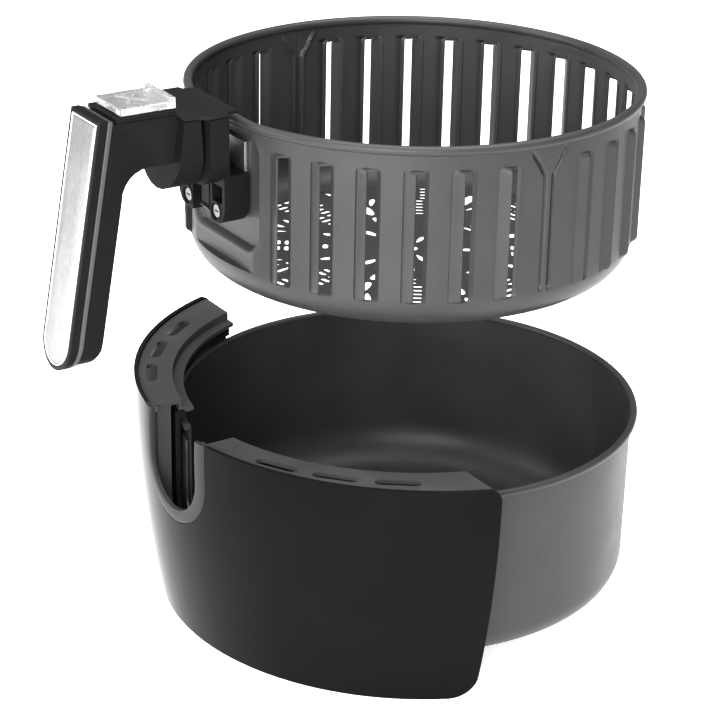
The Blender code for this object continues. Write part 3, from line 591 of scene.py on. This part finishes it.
def make_pan(coat):
    low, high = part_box("pan")
    foot_r, top = PAN_WALL_R - 0.0005, high.z
    neck = top - PAN_BEAD * 1.4
    outer = arc((foot_r - PAN_CORNER, PAN_CORNER), PAN_CORNER, 270, 360, 14)
    inner = arc((foot_r - SHEET - PAN_FILLET, SHEET + PAN_FILLET), PAN_FILLET, 360, 270, 20)
    outer += [(foot_r, PAN_CORNER + 0.004), (PAN_WALL_R, neck)]
    inner = [(PAN_WALL_R - SHEET, neck), (foot_r - SHEET, PAN_FILLET + 0.004)] + inner
    steps = 200
    rows = []
    for r, z in [(0.00001, 0), (0.05, 0)] + outer + inner + [(0.05, SHEET), (0.00001, SHEET)]:
        rows.append([polar(r, 360 * i / steps, z) for i in range(steps)])
    pan = mesh_object("pan_shell", *bridge(rows, closed_across=True), "pan", coat, "nonstick_steel", 40)
    cut(pan, *extruded(rounded_u(PAN_CUT_HALF, PAN_CUT_Z, 0.3, 0.009), -0.13, -0.09))
    pan.data.set_sharp_from_angle(angle=radians(40))
    rim_r = high.x - PAN_BEAD
    start = degrees(atan2(PAN_CUT_HALF + 0.0004, rim_r))
    make_rim("pan_rim", rim_r, top - PAN_BEAD, PAN_BEAD, start, 360 - start, "pan", coat)
    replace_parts(pan, "pan")
    # pressed ring under the floor
    floor = []
    section = ((0.060, 0.0), (0.0615, -0.0006), (0.064, -0.0008),
               (0.0665, -0.0006), (0.068, 0.0), (0.064, 0.0005))
    for r, z in section:
        floor.append([polar(r, 360 * i / steps, z + 0.0001) for i in range(steps)])
    mesh_object("pan_base_ring", *bridge(floor, True, True), "pan", coat, "nonstick_steel", 60)


# -------------------------------------------------------------- front panel


def panel_shape(z):
    """Radius and centre of the panel's arc at a height."""
    low, high = (c.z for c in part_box("front_panel"))
    part = (high - z) / (high - low)
    radius = PANEL_R[0] + (PANEL_R[1] - PANEL_R[0]) * part**PANEL_BELLY
    return radius, PANEL_CENTRE[0] + (PANEL_CENTRE[1] - PANEL_CENTRE[0]) * part


def corner_pull(z, low, high):
    """How far the rounded corners draw the panel's ends in at a height."""
    pull = 0
    for corner, edge in ((CORNERS[0], high - z), (CORNERS[1], z - low)):
        if edge < corner:
            pull += corner - sqrt(max(corner**2 - (corner - edge) ** 2, 0))
    return pull


def make_front_panel(gloss, inside):
    """Curved skin, polished outside and matt on its hidden side."""
    low, high = (c.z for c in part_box("front_panel"))
    top = [high - CORNERS[0] * (1 - cos(radians(a))) for a in range(0, 91, 10)]
    foot = [low + CORNERS[1] * (1 - cos(radians(a))) for a in range(90, -1, -10)]
    middle = [top[-1] + (foot[0] - top[-1]) * i / 30 for i in range(1, 30)]
    rows, columns = [], 140
    for z in top + middle + foot:
        radius, centre = panel_shape(z)
        end = pi / 2 - atan2(centre - PANEL_END_Y, sqrt(radius**2 - (centre - PANEL_END_Y) ** 2))
        end -= corner_pull(z, low, high) / radius
        angles = [end * (2 * i / columns - 1) for i in range(columns + 1)]
        rows.append([(radius * sin(a), centre - radius * cos(a), z) for a in angles])
    panel = mesh_object("panel_skin", *bridge(rows), "pan", gloss, "gloss_black", 60)
    face_outwards(panel)
    add_modifier(panel, "SOLIDIFY", thickness=PANEL_THICK, offset=-1)
    apply_modifiers(panel)
    cut(panel, *extruded(u_outline(BEZEL[0], BEZEL[1], 0.3, 40), -0.2, -0.1))
    panel.data.materials.append(inside)
    for polygon in panel.data.polygons:
        if polygon.normal.x * polygon.center.x + polygon.normal.y * polygon.center.y < 0:
            polygon.material_index = 1
    panel.data.set_sharp_from_angle(angle=radians(50))
    add_modifier(panel, "BEVEL", width=0.0005, segments=3, limit_method="ANGLE",
                 angle_limit=radians(50), harden_normals=True)
    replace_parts(panel, "front_panel")


def make_bezel(grey):
    """Band round the notch, slightly crowned, with a rounded inner lip."""
    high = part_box("notch_bezel")[1].z
    section = ((0.0003, 0.0018), (0.0003, 0.0002), (0.0007, -0.0001), (0.0020, -0.0003), (0.0062, -0.0003),
               (0.0072, 0.0000), (0.0077, 0.0007), (0.0077, 0.0021))
    loops = []
    straight, round_steps = 10, 48
    for number in range(straight * 2 + round_steps + 1):
        loop = []
        for inset, depth in section:
            share = inset / (BEZEL[0] - NOTCH[0])
            half = BEZEL[0] - inset
            centre = (BEZEL[1] + BEZEL[0]) * (1 - share) + (NOTCH[1] + NOTCH[0]) * share
            if number < straight:
                x, z = -half, centre + (high - centre) * (1 - number / straight)
            elif number > straight + round_steps:
                x, z = half, centre + (high - centre) * (number - straight - round_steps) / straight
            else:
                turn = pi + pi * (number - straight) / round_steps
                x, z = half * cos(turn), centre + half * sin(turn)
            radius, middle = panel_shape(z)
            loop.append((x, middle - sqrt(radius**2 - x**2) + depth, z))
        loops.append(loop)
    bezel = loft("bezel_band", loops, "pan", grey, "grey_plastic", 40)
    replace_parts(bezel, "notch_bezel")


# --------------------------------------------------------------------- grip


def grip_front(z):
    return GRIP_FRONT + GRIP_SLOPE * (GRIP_TOP - z)


def grip_loop(half, top, depth, low=GRIP_LOW):
    """U outline of a layer of the grip at a depth behind its front face."""
    outline = u_outline(half, low + GRIP_HALF - half, top, 28)
    rows = [(half * (1 - i / 6), top) for i in range(1, 12)]
    return [(x, -(grip_front(z) - depth), z) for x, z in outline + rows]


def make_cover(plastic):
    """Front cover of the grip: fine ribs round its side and a recess for the insert."""
    top, half = GRIP_TOP, GRIP_HALF
    loops = [grip_loop(half - 0.0005, top - 0.0005, COVER_DEPTH)]
    loops.append(grip_loop(half - 0.0001, top - 0.0001, COVER_DEPTH - 0.00015))
    for rib in range(5):
        depth = COVER_DEPTH - 0.00055 - rib * 0.00072
        for step, inset in ((0.0002, 0.0), (0.00008, 0.00032), (-0.00008, 0.00032), (-0.0002, 0.0)):
            loops.append(grip_loop(half - inset, top - inset, depth + step))
    for inset, depth in ((0, 0.0006), (0.00015, 0.0002), (0.0005, 0.0)):
        loops.append(grip_loop(half - inset, top - inset, depth))
    lip = INSERT_HALF + 0.0003
    for depth in (0.0, 0.0016):
        loops.append(grip_loop(lip, 0.2680, depth, GRIP_LOW + INSERT_LOW - GRIP_HALF + INSERT_HALF))
    cover = loft("grip_cover", loops, "basket", plastic, "black_plastic", 40)
    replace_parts(cover, "handle_front_cover")


def make_band(grey):
    near, far = COVER_DEPTH + 0.0003, COVER_DEPTH + BAND_DEPTH
    steps = ((0.0006, far), (0.0001, far - 0.0004), (0.0, far - 0.0008), (0.0, near + 0.0005), (0.0004, near))
    loops = [grip_loop(GRIP_HALF - inset, 0.2685 - inset, depth) for inset, depth in steps]
    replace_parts(loft("grip_band", loops, "basket", grey, "grey_plastic", 60), "handle_trim_band")


def make_insert(metal, pale):
    """Brushed insert with a fine groove along its outline."""
    steps = ((0, 0.0013), (0, 0.0002), (0.0002, 0.0), (0.0007, 0.0), (0.0009, 0.0003), (0.0012, 0.0003),
             (0.0014, 0.0), (0.0016, -0.0001))
    low = GRIP_LOW + INSERT_LOW - GRIP_HALF + INSERT_HALF
    loops = [grip_loop(INSERT_HALF - inset, INSERT_TOP - inset, depth, low) for inset, depth in steps]
    insert = loft("grip_insert", loops, "basket", metal, "brushed_insert", 30)
    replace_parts(insert, "handle_insert")
    steps = ((0.0002, 0.0001), (0.0002, -0.00015), (0.0007, -0.00015), (0.0007, 0.0001))
    loops = [grip_loop(INSERT_HALF - inset, INSERT_TOP - inset, depth, low) for inset, depth in steps]
    points, faces = bridge(loops, True, True)
    mesh_object("insert_outline", points, faces, "basket", pale, "brushed_insert", 30)


# ------------------------------------------------------------ carried nodes


def refine(nodes, name, material, width=0.0004, segments=2, angle=35):
    """Gives a CAD node its material, and rounds its edges."""
    obj = nodes[name]
    obj.data.materials.clear()
    obj.data.materials.append(material)
    for polygon in obj.data.polygons:
        polygon.use_smooth = True
    if obj.data.attributes.get("custom_normal"):
        obj.data.attributes.remove(obj.data.attributes["custom_normal"])
    add_modifier(obj, "WELD", merge_threshold=0.00001)
    add_modifier(obj, "DECIMATE", decimate_type="DISSOLVE", angle_limit=radians(0.8))
    if width:
        add_modifier(obj, "BEVEL", width=width, segments=segments, limit_method="ANGLE",
                     angle_limit=radians(angle), harden_normals=True, miter_outer="MITER_ARC")


# ------------------------------------------------------------ small details


def rounded_bar(name, centre, size, body, material, edge=0.0003, turn=0.0):
    """A small raised bar with rounded edges."""
    bm = bmesh.new()
    matrix = Matrix.Translation(centre) @ Matrix.Rotation(radians(turn), 4, "Z") @ Matrix.Diagonal((*size, 1))
    bmesh.ops.create_cube(bm, size=1, matrix=matrix)
    bmesh.ops.bevel(bm, geom=bm.edges[:], offset=edge, segments=3, affect="EDGES", profile=0.5)
    mesh = bpy.data.meshes.new(name)
    bm.to_mesh(mesh)
    bm.free()
    mesh.materials.append(material)
    mesh.shade_smooth()
    mesh.set_sharp_from_angle(angle=radians(50))
    obj = bpy.data.objects.new(name, mesh)
    bpy.context.scene.collection.objects.link(obj)
    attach(obj, body)
    return obj


def make_details(plastic, clear):
    """Small mouldings: bosses round the bracket's screws, and the guard's cross and thumb ribs."""
    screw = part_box("bracket_screw_right")
    middle = (screw[0] + screw[1]) / 2
    for name, side in (("left", -1), ("right", 1)):
        section = arc((BOSS_R, 0), BOSS_BEAD, 0, 360, 8)[:-1]
        rows = []
        for i in range(32):
            a = 2 * pi * i / 32
            x, z = side * middle.x, middle.z
            rows.append([(x + r * cos(a), BOX_FRONT + 0.0003 + d, z + r * sin(a)) for r, d in section])
        mesh_object(f"screw_boss_{name}", *bridge(rows, True, True), "basket", plastic, "black_plastic", 60)
    guard_low, guard_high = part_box("button_guard")
    centre = ((guard_low.x + guard_high.x) / 2, CROSS_Y, PLATE_TOP + 0.00005)
    for name, turn in (("a", 38), ("b", -38)):
        size = (0.0150, 0.0013, 0.0008)
        rounded_bar(f"guard_cross_{name}", centre, size, "guard", clear, 0.0003, turn)
    for i in range(4):
        place = (0, -0.1392 - i * 0.0008, guard_high.z - 0.0001)
        size = (0.0200, 0.0003, 0.0003)
        rounded_bar(f"guard_thumb_rib_{i + 1}", place, size, "guard", clear, 0.0001)


def make_ledge_marks(grey):
    """A small raised tick on the ledge at each side of the notch."""
    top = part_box("panel_top_cover")[1].z
    for name, angle in (("left", -MARK_ANGLE), ("right", MARK_ANGLE)):
        place = polar(MARK_R, angle, top + 0.0001)
        size = (0.0016, 0.0040, 0.0004)
        rounded_bar(f"ledge_mark_{name}", place, size, "pan", grey, 0.00015, angle)


# -------------------------------------------------------------------- stage


def make_camera():
    data = bpy.data.cameras.new("camera")
    data.lens = 114.1
    data.sensor_width = 36
    camera = bpy.data.objects.new("camera", data)
    bpy.context.scene.collection.objects.link(camera)
    turn = Matrix.Rotation(radians(56.87), 4, "Z") @ Matrix.Rotation(radians(90 - 23.565), 4, "X")
    roll = Matrix.Rotation(radians(1.20), 4, "Z")
    camera.matrix_world = Matrix.Translation((0.8861, -0.6068, 0.5784)) @ turn @ roll
    bpy.context.scene.camera = camera


def add_area(name, location, size, power, target=(0, -0.02, 0.13)):
    data = bpy.data.lights.new(name, "AREA")
    data.shape = "RECTANGLE"
    data.size, data.size_y = size
    data.energy = power
    light = bpy.data.objects.new(name, data)
    bpy.context.scene.collection.objects.link(light)
    way = Vector(target) - Vector(location)
    light.matrix_world = Matrix.Translation(location) @ way.to_track_quat("-Z", "Y").to_matrix().to_4x4()


def make_stage(floor_z):
    """Pale floor that gives off some light, plain surroundings and three soft lights."""
    material, tree, shader = node_material("floor_paint")
    cloud = add_noise(tree, 3, 3.0)
    base = ramp(tree, cloud.outputs["Fac"], ((0.3, (0.96, 0.96, 0.96)), (0.7, (0.97, 0.97, 0.97))))
    tree.links.new(base, shader.inputs["Base Color"])
    tree.links.new(mapped(tree, cloud.outputs["Fac"], 0.75, 0.85), shader.inputs["Roughness"])
    bm = bmesh.new()
    bmesh.ops.create_grid(bm, x_segments=8, y_segments=8, size=8)
    mesh = bpy.data.meshes.new("floor")
    bm.to_mesh(mesh)
    bm.free()
    mesh.materials.append(material)
    floor = bpy.data.objects.new("floor", mesh)
    floor.location.z = floor_z
    bpy.context.scene.collection.objects.link(floor)
    shader.inputs["Emission Color"].default_value = (1, 1, 1, 1)
    shader.inputs["Emission Strength"].default_value = 0.70
    world = bpy.data.worlds.new("world")
    bpy.context.scene.world = world
    world.use_nodes = True
    background = world.node_tree.nodes["Background"]
    background.inputs[0].default_value = (1, 1, 1, 1)
    background.inputs[1].default_value = 0.30
    bpy.context.scene.view_settings.view_transform = "Standard"
    add_area("left_strip", (-0.55, -1.35, 0.55), (0.30, 1.1), 24)
    add_area("top_soft", (0.10, 0.05, 1.75), (1.6, 1.6), 72)
    add_area("front_fill", (0.92, -0.98, 0.56), (0.90, 0.90), 38)


def main():
    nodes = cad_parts
    coat = coated("coat_outside", 0.029, 0.42, 0.085)
    black = moulded("black_grained", 0.0065, 0.44, specular=0.05)
    core_black = moulded("black_satin", 0.0048, 0.42, 1800, specular=0.035)
    grey = moulded("grey_satin", 0.018, 0.42, 2200, specular=0.08)
    ledge_grey = moulded("ledge_grey", 0.034, 0.42, 2200, specular=0.12)
    band_grey = moulded("band_grey", 0.030, 0.38, 2200, specular=0.3)
    button_grey = moulded("button_grey", 0.10, 0.45)
    plate_steel = brushed("rolled_steel", 0.50, 0.36, 240, (1, 1, 6))
    screw_steel = brushed("plated_steel", 0.20, 0.32, 900, (1, 6, 1))
    insert_metal = brushed("brushed_insert_metal", 0.26, 0.46, 420, (4, 4, 0.12))
    pale = moulded("pale_line", 0.66, 0.35)
    clear = clear_plastic("clear_guard", 0.05, 0.93)
    frosted = clear_plastic("frosted_guard", 0.35, 0.90)

    make_basket(coat)
    make_pan(coat)
    make_front_panel(polished("panel_gloss"), core_black)
    make_bezel(grey)
    make_cover(black)
    make_band(band_grey)
    make_insert(insert_metal, pale)
    make_details(core_black, frosted)
    make_ledge_marks(ledge_grey)

    refine(nodes, "panel_top_cover", ledge_grey, 0.0003, 2)
    refine(nodes, "panel_frame", black, 0.0003)
    refine(nodes, "pan_bracket", plate_steel, 0.0002)
    refine(nodes, "basket_bracket", plate_steel, 0.0002)
    refine(nodes, "latch_catch", plate_steel, 0.0003)
    refine(nodes, "handle_core", core_black, 0.0009, 3)
    refine(nodes, "bracket_top_plate", black, 0.0003)
    refine(nodes, "handle_deck", core_black, 0.0004)
    refine(nodes, "release_button", button_grey, 0.0004)
    refine(nodes, "bracket_housing", core_black, 0.0004)
    refine(nodes, "latch_lever", black, 0.0003)
    refine(nodes, "latch_pin", plate_steel, 0.0002)
    refine(nodes, "button_guard", clear, 0.0003)
    for name in ("button_spring", "latch_spring"):
        refine(nodes, name, screw_steel, 0)
    for name in ("bracket_screw_left", "bracket_screw_right"):
        refine(nodes, name, screw_steel, 0.0003)
    for number in range(1, 5):
        refine(nodes, f"panel_screw_{number}", screw_steel, 0.0003)


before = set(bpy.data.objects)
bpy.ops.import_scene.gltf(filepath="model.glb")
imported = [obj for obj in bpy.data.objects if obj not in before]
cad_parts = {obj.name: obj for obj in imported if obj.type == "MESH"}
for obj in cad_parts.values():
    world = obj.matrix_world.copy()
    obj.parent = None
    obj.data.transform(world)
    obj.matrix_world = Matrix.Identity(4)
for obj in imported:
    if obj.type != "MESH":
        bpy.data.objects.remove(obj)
CAD_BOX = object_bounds()
make_camera()
main()
make_stage(CAD_BOX[0].z)
